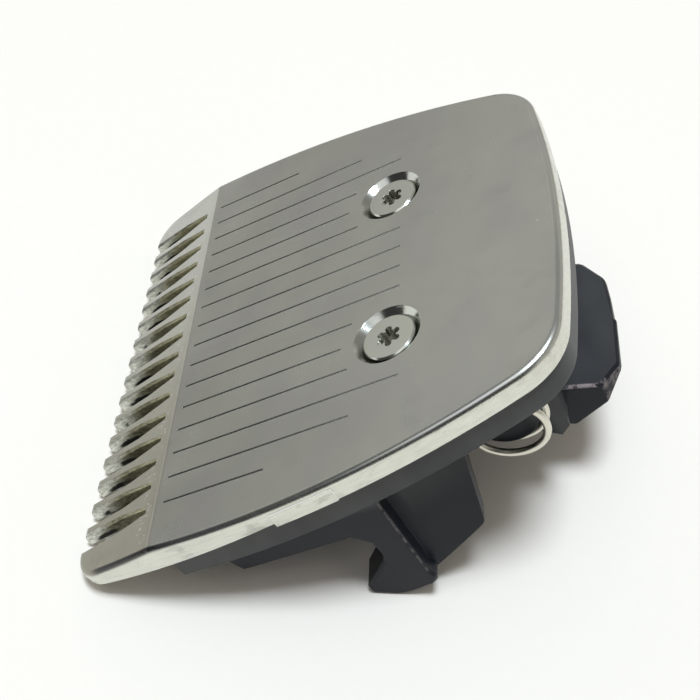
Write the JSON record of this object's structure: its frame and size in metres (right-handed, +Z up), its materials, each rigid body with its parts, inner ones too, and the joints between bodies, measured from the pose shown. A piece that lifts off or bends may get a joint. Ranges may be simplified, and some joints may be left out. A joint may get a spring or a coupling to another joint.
{
  "type": "hair clipper blade",
  "caption": "Clip-on hair clipper cutting head: toothed steel guard plate screwed to a black holder with hook feet and rear lug, over a sprung sliding cutter.",
  "frame": {"origin": "table level under the middle of the part's box, as it lies on its front corners and hook feet", "axes": "+X across the teeth to the right seen from the teeth's back, -Y towards the tooth tips, +Z up from the table; the guard's flat top slopes up to the rear at 30 degrees"},
  "size_m": [0.0428, 0.0411, 0.0228],
  "materials": {
    "guard_steel": "satin",
    "screw_nickel": "bright",
    "holder_plastic": "satin",
    "cutter_steel": "ground",
    "bridge_plastic": "matte",
    "spring_steel": "bright drawn wire"
  },
  "bodies": {
    "head": {"guard_plate": "guard_steel", "guard_screws": "screw_nickel", "blade_holder": "holder_plastic", "spring_right": "spring_steel", "spring_left": "spring_steel"},
    "cutter": {"moving_cutter": "cutter_steel", "drive_bridge": "bridge_plastic"}
  },
  "joints": [
    {"name": "cutter_slide", "type": "slide", "parent": "head", "child": "cutter", "axis": [1, 0, 0], "range_m": [-0.0009, 0.0009]}
  ]
}
